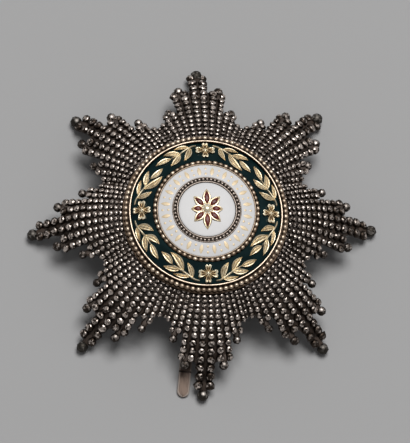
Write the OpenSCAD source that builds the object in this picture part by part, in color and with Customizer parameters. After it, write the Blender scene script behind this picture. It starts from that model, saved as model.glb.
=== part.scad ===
// Breast star of an order: silver rays of faceted beads, a gold and enamel medallion, and a hinged pin.
// The star lies face up: the floor is z = 0, the face looks along +Z and the upright point along +Y.

/* [Star] */
// Radius of the ring through the middles of the eight point beads
tip_r = 43.4; // [42:0.1:45]
// Radius of the bead at the end of each point
tip_bead_r = 1.6; // [1.4:0.05:1.7]
// Inner radius of the rays, hidden under the medallion
ray_inner_r = 20.86; // [20.5:0.02:21.1]
// Rise of the rays from the point beads to the medallion
dome_rise = 13.6; // [12.5:0.1:13.7]
// Curve of the dome: 1 is a cone, more is rounder
dome_curve = 1.75; // [1.2:0.01:1.9]
// Drop of the valleys between the points, below the points' middle lines
valley_drop = 3.6; // [0:0.1:4]
// Radius at which the valleys end
valley_r = 27.7; // [27:0.1:29]
// Thickness of the silver under the beads
ray_wall = 1; // [0.8:0.05:1.2]
// Height of a bead's top over its four corners, for each mm of radius
bead_rise = 0.027; // [0.015:0.001:0.035]

/* [Medallion] */
// Outer radius of the plain gold rim
rim_r = 19.6; // [19.55:0.01:19.65]
// Height of the rim's top above the floor
rim_top = 17.64; // [17.5:0.01:17.9]
// Width of the plain rim
rim_w = 0.55; // [0.4:0.01:0.6]
// Radius of the rounded face that the enamels follow
face_r = 50; // [49:0.5:54]
// Height of the middle of that face above the floor
face_top = 20.5; // [20.3:0.05:20.6]
// Thickness of the enamel
enamel_t = 0.95; // [0.8:0.05:1]
// Radius of the ring of gold beads outside the rim
outer_beads_r = 20.32; // [20.3:0.01:20.45]
// Radius of the ring of gold beads between green and white
inner_beads_r = 12.95; // [12.85:0.01:13]
// Radius of the ring of dark beads round the centre
dark_beads_r = 8; // [8:0.01:8.1]
// Radius of the white centre
centre_r = 7.2; // [7:0.01:7.2]

/* [Ornament] */
// Height of the gold relief over the enamel
relief = 0.6; // [0.4:0.01:0.8]
// Radius at which the flowers sit
flower_ring_r = 16.5; // [16.4:0.01:16.55]
// Reach of a flower's petals along the ring, from its middle
petal_reach = 2.6; // [2.4:0.05:2.65]
// Reach of its petals towards the rim and the centre
petal_reach_out = 2.25; // [2.1:0.01:2.28]
// Length of the rosette's upright petals
rosette_tall = 5.5; // [5:0.1:5.8]
// Length of its other petals
rosette_wide = 4.1; // [3.8:0.1:4.3]

/* [Pin] */
// Width of the flat pin
pin_w = 3.1; // [2.8:0.1:3.3]
// Thickness of the flat pin
pin_t = 0.8; // [0.6:0.05:0.9]
// Distance from the hinge to the pin's rounded end
pin_reach = 62.9; // [61:0.1:63]
// Turn of the pin and its hinge away from the upright, seen from the face
pin_turn = 6.16; // [5:0.01:7]
// Distance of the hinge above the star's middle
hinge_y = 18.5; // [18:0.1:19]
// Sideways place of the hinge
hinge_x = 1.13; // [1:0.01:1.3]
// Height of the hinge rod above the floor
hinge_z = 9; // [8.6:0.1:9.2]
// Radius of the hinge rod
rod_r = 0.6; // [0.5:0.05:0.65]

/* [Hidden] */

$fn = 96;
points = 8;
point_step = 360 / points;
seam = 0.05;          // gap between pieces that lie against each other

silver = "#6f6a66";
dark_silver = "#3d3936";
gold = "#d9b45c";
green = "#12332f";
white = "#eeeef0";
red = "#5a1e1b";

// Rows of half a point: nearer edge and further edge in degrees from the middle line, number of beads
half_rows = [
  [0.00, 3.89, 14],
  [3.89, 7.77, 11],
  [7.77, 11.35, 11],
  [11.35, 14.78, 7],
  [14.78, 18.20, 7],
  [18.20, 21.30, 6]
];
valley_row_beads = 6;
longest_row = 14;

// Fingers of half a point: angle from the middle line, radius of the end bead's middle, its size, row length
fingers = [
  [0.00, tip_r, tip_bead_r, 14],
  [7.77, tip_r * 0.8615, tip_bead_r * 0.89, 11],
  [14.78, tip_r * 0.7267, tip_bead_r * 0.795, 7]
];
ray_cell_end_r = tip_r - 0.725 * tip_bead_r;

// Edges and bead counts of all rows in one point and the valley after it, turning left
edge_turns = concat([for (i = [5:-1:0]) -half_rows[i][1]], [0], [for (i = [0:5]) half_rows[i][1]]);
row_beads = concat([for (i = [5:-1:0]) half_rows[i][2]], [for (i = [0:5]) half_rows[i][2]], [valley_row_beads]);
edges_per_point = len(edge_turns);
edges = points * edges_per_point;
row_growth = pow(ray_cell_end_r / ray_inner_r, 1 / longest_row);

function edge_turn(e) = edge_turns[e % edges_per_point];
function edge_angle(e) = 90 + point_step * floor(e / edges_per_point) + edge_turn(e);
function beads_in(e) = row_beads[(e + edges) % edges_per_point];
function cell_r(k) = ray_inner_r * pow(row_growth, k);

// Height of the rays' face at a radius and an angle from the nearest point's middle line
function dome(r) = dome_rise * (1 - pow(max(0, r - ray_inner_r) / (tip_r - ray_inner_r), dome_curve));
function valley(r, turn) =
  valley_drop * pow(turn / (point_step / 2), 2) * (r - ray_inner_r) / (valley_r - ray_inner_r);
function ray_z(r, turn) = tip_bead_r + dome(r) - valley(r, turn);
function corner_z(r, turn) = ray_z(r, turn) - bead_rise * r * 0.7;
function apex_z(r, turn) = ray_z(r, turn) + bead_rise * r * 0.3;
function under_z(r, turn) = corner_z(r, turn) - ray_wall;

function polar(r, angle, z) = [r * cos(angle), r * sin(angle), z];

// Height of the medallion's rounded face at a radius
face_z0 = face_top - face_r;
function face_z(r) = face_z0 + sqrt(face_r * face_r - r * r);

// One closed shell: a grid of cells in rings and rows, each cell a four-sided bead
module ray_shell() {
  rings = longest_row + 1;
  corner_count = edges * rings;
  corners = [for (e = [0:edges - 1]) for (k = [0:longest_row])
    polar(cell_r(k), edge_angle(e), corner_z(cell_r(k), edge_turn(e)))];
  unders = [for (e = [0:edges - 1]) for (k = [0:longest_row])
    polar(cell_r(k), edge_angle(e), under_z(cell_r(k), edge_turn(e)))];
  tops = [for (e = [0:edges - 1]) for (k = [0:longest_row - 1])
    let (
      last = e % edges_per_point == edges_per_point - 1,
      turn = last ? point_step / 2 : (edge_turn(e) + edge_turn(e + 1)) / 2,
      angle = 90 + point_step * floor(e / edges_per_point) + turn,
      r = sqrt(cell_r(k) * cell_r(k + 1))
    ) polar(r * 0.998, angle, apex_z(r, turn))];
  function top(e, k) = (e % edges) * rings + k;
  function under(e, k) = corner_count + top(e, k);
  function apex(e, k) = 2 * corner_count + e * longest_row + k;
  cells = [for (e = [0:edges - 1]) for (k = [0:beads_in(e) - 1])
    let (a = top(e, k), b = top(e + 1, k), c = top(e + 1, k + 1), d = top(e, k + 1), p = apex(e, k),
         ua = under(e, k), ub = under(e + 1, k), uc = under(e + 1, k + 1), ud = under(e, k + 1))
    each [[a, b, p], [b, c, p], [c, d, p], [d, a, p], [ua, ud, uc], [ua, uc, ub]]];
  inner_wall = [for (e = [0:edges - 1]) [top(e + 1, 0), top(e, 0), under(e, 0), under(e + 1, 0)]];
  end_walls = [for (e = [0:edges - 1])
    let (k = beads_in(e)) [top(e, k), top(e + 1, k), under(e + 1, k), under(e, k)]];
  right_walls = [for (e = [0:edges - 1]) if (beads_in(e - 1) < beads_in(e))
    for (k = [beads_in(e - 1):beads_in(e) - 1]) [top(e, k), top(e, k + 1), under(e, k + 1), under(e, k)]];
  left_walls = [for (e = [0:edges - 1]) if (beads_in(e + 1) < beads_in(e))
    for (k = [beads_in(e + 1):beads_in(e) - 1])
      [top(e + 1, k + 1), top(e + 1, k), under(e + 1, k), under(e + 1, k + 1)]];
  polyhedron(
    points = concat(corners, unders, tops),
    faces = concat(cells, inner_wall, end_walls, right_walls, left_walls),
    convexity = 10
  );
}

// The larger bead at a finger's end, cut with eight sides and a flat on top, with its neck to the rows
module finger_bead(row, side) {
  turn = row[0] * side;
  size = row[2];
  row_end = cell_r(row[3]);
  hull() {
    translate(polar(row[1], 90 + turn, ray_z(row[1], row[0]) - size)) {
      translate([0, 0, size * 0.62]) cylinder(r = size, h = size * 0.76, $fn = 8);
      cylinder(r = size * 0.5, h = size * 2, $fn = 8);
    }
    translate(polar(row_end - size * 0.4, 90 + turn, under_z(row_end, row[0]) + 0.15))
      cylinder(r = size * 0.85, h = ray_wall, $fn = 6);
  }
}

module star_rays() {
  color(silver) union() {
    ray_shell();
    for (p = [0:points - 1]) rotate(p * point_step) {
      finger_bead(fingers[0], 1);
      for (side = [-1, 1]) {
        finger_bead(fingers[1], side);
        finger_bead(fingers[2], side);
      }
    }
  }
}

// Back plate and medallion frame
plate_r = 22;
plate_t = 0.8;
plate_top = 12.95;
flange_r = 21.1;
flange_z = 15.4;
flange_t = 0.55;

module back_plate() {
  color(silver) translate([0, 0, plate_top - plate_t]) cylinder(r = plate_r, h = plate_t);
}

// A band of the rounded face between two radii, from depth to depth, as an outline to spin
arc_steps = 8;
function face_arc(r0, r1, depth) =
  [for (i = [0:arc_steps]) let (r = r0 + (r1 - r0) * i / arc_steps) [r, face_z(r) - depth]];
function reversed(list) = [for (i = [len(list) - 1:-1:0]) list[i]];
function face_band(r0, r1, depth_top, depth_low) =
  concat(face_arc(r0, r1, depth_top), reversed(face_arc(r0, r1, depth_low)));

carrier_t = 0.8;

module medallion_frame() {
  carrier_r = rim_r - rim_w;
  carrier_top = enamel_t + seam;
  color(gold) rotate_extrude() polygon(concat(
    face_arc(0, carrier_r, carrier_top),
    [[carrier_r, rim_top - 0.12], [carrier_r + 0.12, rim_top], [rim_r - 0.12, rim_top], [rim_r, rim_top - 0.12],
     [rim_r, flange_z + flange_t], [flange_r, flange_z + flange_t], [flange_r, flange_z], [rim_r, flange_z],
     [rim_r, plate_top + seam], [carrier_r, plate_top + seam]],
    reversed(face_arc(0, carrier_r, carrier_top + carrier_t))
  ));
}

// A ring of beads: stations at the bead middles and at the waists between them, each a five-sided section
module bead_ring(ring_r, floor_z, top_z, bead_w, beads, waist) {
  height = top_z - floor_z;
  shoulder = height - bead_w / 2;
  foot = bead_w * 0.42;
  function section(swell) = [
    [-foot, 0], [foot, 0],
    [bead_w / 2 * swell, shoulder], [0, shoulder + bead_w / 2 * swell], [-bead_w / 2 * swell, shoulder]
  ];
  stations = 2 * beads;
  sides = 5;
  rim_points = [for (s = [0:stations - 1]) for (v = section(s % 2 == 0 ? 1 : waist))
    polar(ring_r + v[0], s * 360 / stations, floor_z + v[1])];
  function at(s, i) = (s % stations) * sides + i % sides;
  skin = [for (s = [0:stations - 1]) for (i = [0:sides - 1])
    each [[at(s, i), at(s + 1, i), at(s + 1, i + 1)], [at(s, i), at(s + 1, i + 1), at(s, i + 1)]]];
  polyhedron(points = rim_points, faces = skin, convexity = 10);
}

outer_beads = 91;
inner_beads = 57;
dark_beads = 51;
outer_bead_w = 1.15;
inner_bead_w = 1.2;
dark_bead_w = 1.5;

module outer_bead_ring() {
  color(gold)
    bead_ring(outer_beads_r, flange_z + flange_t + seam, rim_top - 0.25, outer_bead_w, outer_beads, 0.62);
}

module green_enamel_ring() {
  color(green) rotate_extrude()
    polygon(face_band(inner_beads_r + inner_bead_w / 2 + seam, rim_r - rim_w - seam, 0, enamel_t));
}

module inner_bead_ring() {
  color(gold)
    bead_ring(inner_beads_r, face_z(inner_beads_r - inner_bead_w / 2) - enamel_t, face_z(inner_beads_r) + 0.55,
              inner_bead_w, inner_beads, 0.62);
}

module white_enamel_ring() {
  color(white) rotate_extrude()
    polygon(face_band(dark_beads_r + dark_bead_w / 2 + seam, inner_beads_r - inner_bead_w / 2 - seam, 0, enamel_t));
}

module dark_bead_ring() {
  color(dark_silver)
    bead_ring(dark_beads_r, face_z(dark_beads_r - dark_bead_w / 2) - enamel_t, face_z(dark_beads_r) + 0.62,
              dark_bead_w, dark_beads, 0.62);
}

module centre_disc() {
  color(white) rotate_extrude() polygon(face_band(0, centre_r, 0, enamel_t));
}

// Cuts an upright outline to a skin that lies on the rounded face, from one height over it to another
module on_face(low, high) {
  intersection() {
    translate([0, 0, flange_z]) linear_extrude(height = face_top) children();
    difference() {
      translate([0, 0, face_z0]) sphere(r = face_r + high);
      translate([0, 0, face_z0]) sphere(r = face_r + low);
    }
  }
}

// A pointed leaf between two places, widest a little before its middle
leaf_steps = 6;
foot_in = 0.3;        // how far a leaf's foot runs back into the stem
function leaf_points(from, to, width) =
  let (
    along = (to - from) * (1 + foot_in / norm(to - from)),
    start = to - along,
    across = [-along[1], along[0]] / norm(along) * width / 2,
    shape = [for (i = [1:leaf_steps - 1]) let (t = i / leaf_steps) [t, sin(180 * pow(t, 0.85))]]
  )
  concat(
    [start], [for (s = shape) start + along * s[0] + across * s[1]],
    [to], [for (s = reversed(shape)) start + along * s[0] - across * s[1]]
  );

// Leaves of a spray: turn and radius of the foot, turn and radius of the tip, width.
// Turns are in degrees from the place of the flower that the spray springs from.
// The sprays that turn against the clock have the first kind of leaves, the others the second.
left_leaves = [
  [11.5, 17.8, 21.5, 14.5, 1.6],
  [12.0, 18.0, 25.0, 18.6, 1.0],
  [21.5, 16.8, 36.0, 14.95, 1.5],
  [21.5, 16.8, 34.5, 18.5, 1.5],
  [30.8, 16.65, 45.2, 17.6, 1.45]
];
right_leaves = [
  [12.5, 17.9, 21.0, 14.6, 1.35],
  [15.0, 17.7, 28.5, 18.4, 1.0],
  [21.5, 16.8, 41.0, 14.4, 1.75],
  [24.5, 16.8, 38.5, 18.1, 1.4],
  [32.5, 16.5, 47.5, 15.8, 1.45]
];
// Stem: turn, radius and half width at a few places. It starts beside the flower's outer petal.
stem = [
  [6.2, 18.2, 0.14],
  [9.5, 18.15, 0.2],
  [12, 17.95, 0.24],
  [15, 17.6, 0.26],
  [22, 16.85, 0.24],
  [33, 16.6, 0.12]
];

function spot(turn, r) = [r * cos(turn), r * sin(turn)];

module leaf(row) {
  polygon(leaf_points(spot(row[0], row[1]), spot(row[2], row[3]), row[4]));
}

module stem_outline() {
  polygon(concat(
    [for (s = stem) spot(s[0], s[1] + s[2])],
    [for (s = reversed(stem)) spot(s[0], s[1] - s[2])]
  ));
}

// Odd sprays turn against the clock from their flower, even ones with it
module laurel_spray(i) {
  flower = floor((i - 1) / 2);
  turn_back = i % 2 == 0;
  color(gold) rotate(90 * flower) mirror([0, turn_back ? 1 : 0, 0]) union() {
    on_face(seam, relief * 0.8) stem_outline();
    for (row = turn_back ? right_leaves : left_leaves) on_face(seam, relief) leaf(row);
  }
}

// A flower of four lobed petals, each two round lobes and a wedge, with small sepals between
module flower_outline() {
  lobe_r = 0.58;
  lobe_side = 0.48;
  for (a = [0:90:270]) rotate(a) {
    lobe_out = (a % 180 == 0 ? petal_reach_out : petal_reach) - lobe_r;
    for (side = [-1, 1]) translate([lobe_out, side * lobe_side]) circle(r = lobe_r);
    polygon([[0.2, -0.3], [lobe_out, -lobe_side - lobe_r * 0.85], [lobe_out, lobe_side + lobe_r * 0.85], [0.2, 0.3]]);
  }
  for (a = [45:90:315]) rotate(a) polygon([[0.3, -0.25], [1.5, 0], [0.3, 0.25]]);
  circle(r = 0.6);
}

// Each flower sits a little off its even place: turn in degrees and shift outwards
flower_shifts = [[-1.2, 0], [-0.6, 0.15], [-1.2, -0.1], [0.3, 0]];

module flower(i) {
  shift = flower_shifts[i - 1];
  color(gold) on_face(seam, relief + 0.15)
    rotate(90 * (i - 1) + shift[0]) translate([flower_ring_r + shift[1], 0]) flower_outline();
}

// Rosette of eight pointed petals: length and width for each of them
petal_rows = [for (i = [0:7]) let (upright = i % 4 == 2, flat = i % 4 == 0)
  [45 * i, upright ? rosette_tall : flat ? rosette_wide : (rosette_tall + rosette_wide) / 2, 2.1]];
petal_border = 0.3;
boss_r = 0.85;
rosette_low = 0.3;
rosette_high = 0.55;

module rosette_petal(row, inset) {
  foot = 1.2 + inset;
  rotate(row[0])
    polygon(leaf_points([foot, 0], [row[1] - inset * 1.6, 0], row[2] - 2 * inset));
}

module rosette_outline() {
  for (row = petal_rows) rosette_petal(row, 0);
  circle(r = 1.6);
}

module rosette_gold() {
  color(gold) {
    on_face(seam, rosette_low) rosette_outline();
    translate([0, 0, face_top + seam]) cylinder(r1 = boss_r, r2 = boss_r * 0.6, h = rosette_high + 0.1);
  }
}

module rosette_enamel() {
  color(red) for (row = petal_rows) on_face(rosette_low + seam, rosette_high) rosette_petal(row, petal_border);
}

// Pin: its own frame has the hinge rod along x at the origin, and the blade along -y
pin_drop = asin((hinge_z - pin_t / 2) / pin_reach);
knuckle_r = 1.5;
knuckle_w = 2.2;
neck_w = 1.9;
ear_w = 1;
ear_r = 1.6;
ear_gap = 0.15;
pin_play = 0.05;
ear_play = 0.02;
bracket_t = 0.5;
bracket_top = plate_top - plate_t - seam;

module at_hinge() {
  translate([hinge_x, hinge_y, hinge_z]) rotate([0, 0, -pin_turn]) children();
}

module pin_blade() {
  neck_end = ear_r + 0.9;
  end_r = pin_w / 2;
  color(silver) at_hinge() rotate([pin_drop, 0, 0]) difference() {
    union() {
      rotate([0, 90, 0]) cylinder(r = knuckle_r, h = knuckle_w, center = true);
      translate([0, 0, -pin_t / 2]) linear_extrude(height = pin_t) {
        translate([-neck_w / 2, -neck_end - 1]) square([neck_w, neck_end + 1]);
        polygon([[-neck_w / 2, -neck_end], [-end_r, -neck_end - 1.2], [-end_r, end_r - pin_reach],
                 [end_r, end_r - pin_reach], [end_r, -neck_end - 1.2], [neck_w / 2, -neck_end]]);
        translate([0, end_r - pin_reach]) circle(r = end_r);
      }
    }
    rotate([0, 90, 0]) cylinder(r = rod_r + pin_play, h = knuckle_w + 2, center = true);
  }
}

module hinge_bracket() {
  ear_in = knuckle_w / 2 + ear_gap;
  lift = bracket_top - hinge_z;
  color(silver) at_hinge() difference() {
    union() {
      translate([-ear_in - ear_w, -ear_r, lift - bracket_t]) cube([2 * (ear_in + ear_w), 2 * ear_r, bracket_t]);
      for (side = [-1, 1]) {
        translate([side * (ear_in + ear_w / 2), 0, 0]) rotate([0, 90, 0])
          cylinder(r = ear_r, h = ear_w, center = true);
        translate([side * (ear_in + ear_w / 2) - ear_w / 2, -ear_r, 0]) cube([ear_w, 2 * ear_r, lift - bracket_t]);
      }
    }
    rotate([0, 90, 0]) cylinder(r = rod_r + ear_play, h = 2 * (ear_in + ear_w) + 2, center = true);
  }
}

module hinge_rod() {
  rod_half = knuckle_w / 2 + ear_gap + ear_w + 0.3;
  color(dark_silver) at_hinge() rotate([0, 90, 0]) cylinder(r = rod_r, h = 2 * rod_half, center = true);
}

// The hook is a C beside the pin, open towards it, on a post from the underside of the lowest point
hook_reach = 48.5;    // from the hinge, along the pin
hook_z = 4.15;        // height of the middle of the hook's mouth
hook_mouth = 1.3;
hook_wall = 0.7;
hook_len = 3.2;
hook_gap = 0.45;      // from the pin's edge to the hook's jaws
post_w = 1.6;

module catch_hook() {
  jaw_x = pin_w / 2 + hook_gap;
  back_x = jaw_x + pin_w + 0.6;
  half = hook_mouth / 2 + hook_wall;
  foot_r = 30.2;
  slope = atan((under_z(foot_r - 1, 5) - under_z(foot_r + 1, 5)) / 2);
  foot_z = under_z(foot_r, 8) - 0.25;
  color(silver) translate([hinge_x, hinge_y, 0]) rotate([0, 0, -pin_turn]) translate([0, -hook_reach, 0]) {
    difference() {
      union() {
        translate([jaw_x, -hook_len / 2, hook_z - half]) cube([back_x - jaw_x, hook_len, 2 * half]);
        translate([back_x - half, -hook_len / 2, hook_z - half]) cube([half + 0.5, hook_len, 2 * half]);
        translate([back_x - post_w, -hook_len / 2, hook_z]) cube([post_w + 0.5, hook_len, 8]);
      }
      translate([jaw_x - 1, -hook_len, hook_z - hook_mouth / 2]) cube([pin_w + 1.2, 2 * hook_len, hook_mouth]);
      translate([0, 0, foot_z]) rotate([slope, 0, 0]) translate([-10, -10, 0]) cube([30, 20, 20]);
    }
  }
}

star_rays();
back_plate();
medallion_frame();
outer_bead_ring();
green_enamel_ring();
inner_bead_ring();
white_enamel_ring();
dark_bead_ring();
centre_disc();
rosette_gold();
rosette_enamel();
for (i = [1:8]) laurel_spray(i);
for (i = [1:4]) flower(i);
hinge_bracket();
hinge_rod();
pin_blade();
catch_hook();
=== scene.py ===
import math

import bmesh
import bpy
import numpy as np
from mathutils import Matrix, Vector


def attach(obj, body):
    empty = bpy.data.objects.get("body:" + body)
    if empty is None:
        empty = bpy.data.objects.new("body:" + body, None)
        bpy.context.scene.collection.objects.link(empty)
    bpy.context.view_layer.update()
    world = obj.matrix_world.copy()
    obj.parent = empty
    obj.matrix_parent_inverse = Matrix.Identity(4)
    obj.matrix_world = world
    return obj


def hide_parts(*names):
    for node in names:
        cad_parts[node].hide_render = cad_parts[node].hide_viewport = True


# A breast star with a gold and enamel medallion, face up on a grey floor. Its lengths are in millimetres
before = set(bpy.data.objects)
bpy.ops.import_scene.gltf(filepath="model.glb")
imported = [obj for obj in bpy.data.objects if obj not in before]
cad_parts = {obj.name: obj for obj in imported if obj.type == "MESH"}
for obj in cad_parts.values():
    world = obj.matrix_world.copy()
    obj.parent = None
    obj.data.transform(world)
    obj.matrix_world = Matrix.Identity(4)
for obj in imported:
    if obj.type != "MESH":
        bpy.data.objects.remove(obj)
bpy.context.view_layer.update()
mm = 0.001
dice = np.random.default_rng(11)  # every random draw, in order
mergeGap = 0.0002  # points nearer than this become one


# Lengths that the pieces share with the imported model
star = {
    "points": 8, "tipRadius": 43.4, "tipBead": 1.6,
    "innerRadius": 20.86, "cellEnd": 42.24, "longestRow": 14,  # the longest rows' ends and cell count
    "domeRise": 13.6, "domeCurve": 1.75, "valleyDrop": 3.6, "valleyRadius": 27.7,
}
medallion = {
    "faceRadius": 50.0, "faceTop": 20.5,  # the rounded face that the enamels follow
    "enamel": 0.95, "seam": 0.05, "gap": 0.05, "plateTop": 12.95, "carrierThick": 0.8,
    "rim": (19.6, 0.55, 17.64, 0.3, 0.9),  # radius, width, top, rounding, painted highlight on its top
    "flange": (21.1, 0.55, 15.4, 0.15, 0.15),  # radius, thickness, low side, rounding, brightness
    "bandRound": 0.12,
    "bands": {  # inner and outer radius, slot
        "green_enamel_ring": (13.6, 19.0, "green_enamel"),
        "white_enamel_ring": (8.8, 12.3, "white_enamel"),
        "centre_disc": (0, 7.2, "white_enamel"),
    },
}
sunk = -0.05  # height of the feet of what lies on the enamels, over their face
quarter = 90  # degrees from flower to flower and from petal to petal
wholeStep = 360 / star["points"]
halfStep = wholeStep / 2
upTurn = 90  # angle of the point that stands upright in the photo
growth = (star["cellEnd"] / star["innerRadius"]) ** (1 / star["longestRow"])


# Ray face: the tip bead, plus a dome that falls outwards, less a drop that grows with the turn's square
def rayHeight(radius, turn):
    reach = star["tipRadius"] - star["innerRadius"]
    outward = np.clip((radius - star["innerRadius"]) / reach, 0, None)
    dome = star["domeRise"] * (1 - outward ** star["domeCurve"])
    valleyReach = (radius - star["innerRadius"]) / (star["valleyRadius"] - star["innerRadius"])
    return star["tipBead"] + dome - star["valleyDrop"] * (turn / halfStep) ** 2 * valleyReach


def pointAngle(point):
    return upTurn + wholeStep * point


# Medallion face: the top of a ball of the face radius
def faceHeight(radius):
    ball = medallion["faceRadius"]
    return medallion["faceTop"] - ball + np.sqrt(ball**2 - np.asarray(radius) ** 2)


# Rings of the shell, each wider than the last by the same factor
def cellRadius(step):
    return star["innerRadius"] * growth ** np.asarray(step, float)


# Points from radius, angle in degrees and height
def polar(radius, angle, height):
    turned = np.radians(angle)
    return np.stack(np.broadcast_arrays(radius * np.cos(turned), radius * np.sin(turned), height), -1)


# Share of the way from a start over a reach, kept between 0 and 1
def ramp(value, start, reach):
    return np.clip((value - start) / reach, 0, 1)


def unit(vectors):
    return vectors / np.linalg.norm(vectors, axis=-1, keepdims=True)


# Quads of grids whose points are numbered row by row
def gridFaces(rows, columns, wrapRows=False, wrapColumns=False, copies=1):
    i = np.arange(rows if wrapRows else rows - 1)[:, None]
    j = np.arange(columns if wrapColumns else columns - 1)[None, :]
    below, beside = (i + 1) % rows, (j + 1) % columns
    corners = (i * columns + j, below * columns + j, below * columns + beside, i * columns + beside)
    quads = np.stack(np.broadcast_arrays(*corners), -1).reshape(-1, 4)
    return (quads[None] + (np.arange(copies) * rows * columns)[:, None, None]).reshape(-1, 4)


def placeObject(name, data):
    made = bpy.data.objects.new(name, data)
    bpy.context.scene.collection.objects.link(made)
    return made


# Puts parts into one mesh, closes its seams and poles and turns its faces outwards
def makePiece(name, parts, finish, replaced, body="star", sharp=60):
    mesh = bpy.data.meshes.new(name)
    points = np.concatenate([part["points"].reshape(-1, 3) for part in parts]) * mm
    loops, counts, first = [], [], 0
    for part in parts:
        for faces in part["faces"]:
            loops.append((faces + first).ravel())
            counts.append(np.full(len(faces), faces.shape[1]))
        first += part["points"].size // 3
    loops, counts = np.concatenate(loops), np.concatenate(counts)
    mesh.vertices.add(len(points))
    mesh.vertices.foreach_set("co", points.ravel())
    mesh.loops.add(len(loops))
    mesh.loops.foreach_set("vertex_index", loops.astype(np.int32))
    mesh.polygons.add(len(counts))
    mesh.polygons.foreach_set("loop_start", (np.cumsum(counts) - counts).astype(np.int32))
    mesh.update(calc_edges=True)
    for mark in ("height", "tone"):
        layer = mesh.attributes.new(mark, "FLOAT", "POINT")
        values = [np.broadcast_to(part.get(mark, 1.0), part["points"].shape[:-1]).ravel() for part in parts]
        layer.data.foreach_set("value", np.concatenate(values).astype(np.float32))
    if not sharp:
        # a random value for each cut face: painted glints on some facets and darker others, together with
        # uneven polish
        layer = mesh.attributes.new("facetGlint", "FLOAT", "FACE")  # one random value for each cut face
        layer.data.foreach_set("value", dice.random(len(counts)).astype(np.float32))
    work = bmesh.new()
    work.from_mesh(mesh)
    bmesh.ops.remove_doubles(work, verts=work.verts, dist=mergeGap * mm)
    bmesh.ops.delete(work, geom=[v for v in work.verts if not v.link_faces], context="VERTS")
    bmesh.ops.recalc_face_normals(work, faces=work.faces)
    work.to_mesh(mesh)
    work.free()
    if sharp:
        mesh.shade_smooth()
        mesh.set_sharp_from_angle(angle=math.radians(sharp))
    mesh.materials.append(finish)
    piece = placeObject(name, mesh)
    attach(piece, body)
    if replaced:
        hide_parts(*replaced)


# A part from one grid of points or more, whose columns always close up
def gridPart(points, height, tone=1.0, wrapRows=False):
    faces = gridFaces(*points.shape[-3:-1], wrapRows, True, math.prod(points.shape[:-3]))
    return {"points": points, "faces": [faces], "height": height, "tone": tone}


# A closed outline of radius and height, spun round the upright axis
def spun(outline, steps, height=1.0):
    angle = np.arange(steps) * 360 / steps
    points = polar(outline[None, :, 0], angle[:, None], outline[None, :, 1])
    return gridPart(points, height, wrapRows=True)


# A socket's value, on which Python arithmetic adds Math nodes
class Value:
    def __init__(self, finish, socket):
        self.finish, self.socket = finish, socket

    def maths(self, operation, first, second):
        return self.finish.node("Math", {"operation": operation}, {0: first, 1: second})

    def __add__(self, other):
        return self.maths("ADD", self, other)

    def __sub__(self, other):
        return self.maths("SUBTRACT", self, other)

    def __rsub__(self, other):
        return self.maths("SUBTRACT", other, self)

    def __mul__(self, other):
        return self.maths("MULTIPLY", self, other)

    __radd__, __rmul__ = __add__, __mul__


# Sockets of a colour Mix node: its inputs and its result
mixFirst, mixSecond, mixResult = 6, 7, 2


# A material and the nodes that feed its Principled shader
class Finish:
    def __init__(self, name, constants):
        self.material = bpy.data.materials.new(name)
        self.material.use_nodes = True
        self.tree = self.material.node_tree
        self.shader = self.tree.nodes["Principled BSDF"]
        for socket, value in constants.items():
            self.shader.inputs[socket].default_value = value
        self.place = self.node("TexCoord", {}, {}, "Object")

    # A node from its type, its settings and the values or links of its sockets
    def node(self, kind, settings, sockets, output=0):
        made = self.tree.nodes.new("ShaderNode" + kind)
        for key, value in settings.items():
            setattr(made, key, value)
        for key, value in sockets.items():
            self.join(made.inputs[key], value)
        return Value(self, made.outputs[output])

    def join(self, socket, value):
        if isinstance(value, Value):
            self.tree.links.new(value.socket, socket)
        elif socket.type == "RGBA":
            socket.default_value = (*value, 1)
        else:
            socket.default_value = value

    # Values that the mesh carries: height, which paints highlight and shade together with wear, tone and, on
    # cut faces, facetGlint, which paints random glints
    def marks(self, *names):
        return [self.node("Attribute", {"attribute_name": name}, {}, "Fac") for name in names]

    def noise(self, perMetre, detail, stretch=None):
        place = self.place
        if stretch:
            place = self.node("Mapping", {}, {"Vector": place, "Scale": stretch})
        return self.node("TexNoise", {}, {"Vector": place, "Scale": perMetre, "Detail": detail})

    # From 0 under the lower limit to 1 over the higher one
    def step(self, value, low, high):
        sockets = {"Value": value, "From Min": low, "From Max": high}
        return self.node("MapRange", {"interpolation_type": "SMOOTHSTEP"}, sockets)

    def blend(self, factor, first, second):
        sockets = {0: factor, mixFirst: first, mixSecond: second}
        return self.node("Mix", {"data_type": "RGBA"}, sockets, mixResult)

    # The bump is given as height, strength and depth
    def paint(self, colour, roughness=None, bump=None):
        if bump:
            sockets = {"Height": bump[0], "Strength": bump[1], "Distance": bump[2] * mm}
            bump = self.node("Bump", {}, sockets)
        for name, value in (("Base Color", colour), ("Roughness", roughness), ("Normal", bump)):
            if value is not None:
                self.join(self.shader.inputs[name], value)
        return self.material


def makeFloor():
    look = {"grey": (0.406, 0.404, 0.404), "halfSide": 2.5, "cloudsPerMetre": 9, "cloudShade": 0.985}
    finish = Finish("paleFloor", {"Roughness": 0.9, "Specular IOR Level": 0.1})
    cloud = finish.noise(look["cloudsPerMetre"], 3)
    darker = tuple(look["cloudShade"] * part for part in look["grey"])
    material = finish.paint(finish.blend(cloud, look["grey"], darker))
    mesh = bpy.data.meshes.new("floor")
    side = look["halfSide"]
    corners = [(-side, -side, 0), (side, -side, 0), (side, side, 0), (-side, side, 0)]
    mesh.from_pydata(corners, [], [(0, 1, 2, 3)])
    mesh.materials.append(material)
    floor = placeObject("floor", mesh)


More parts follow.
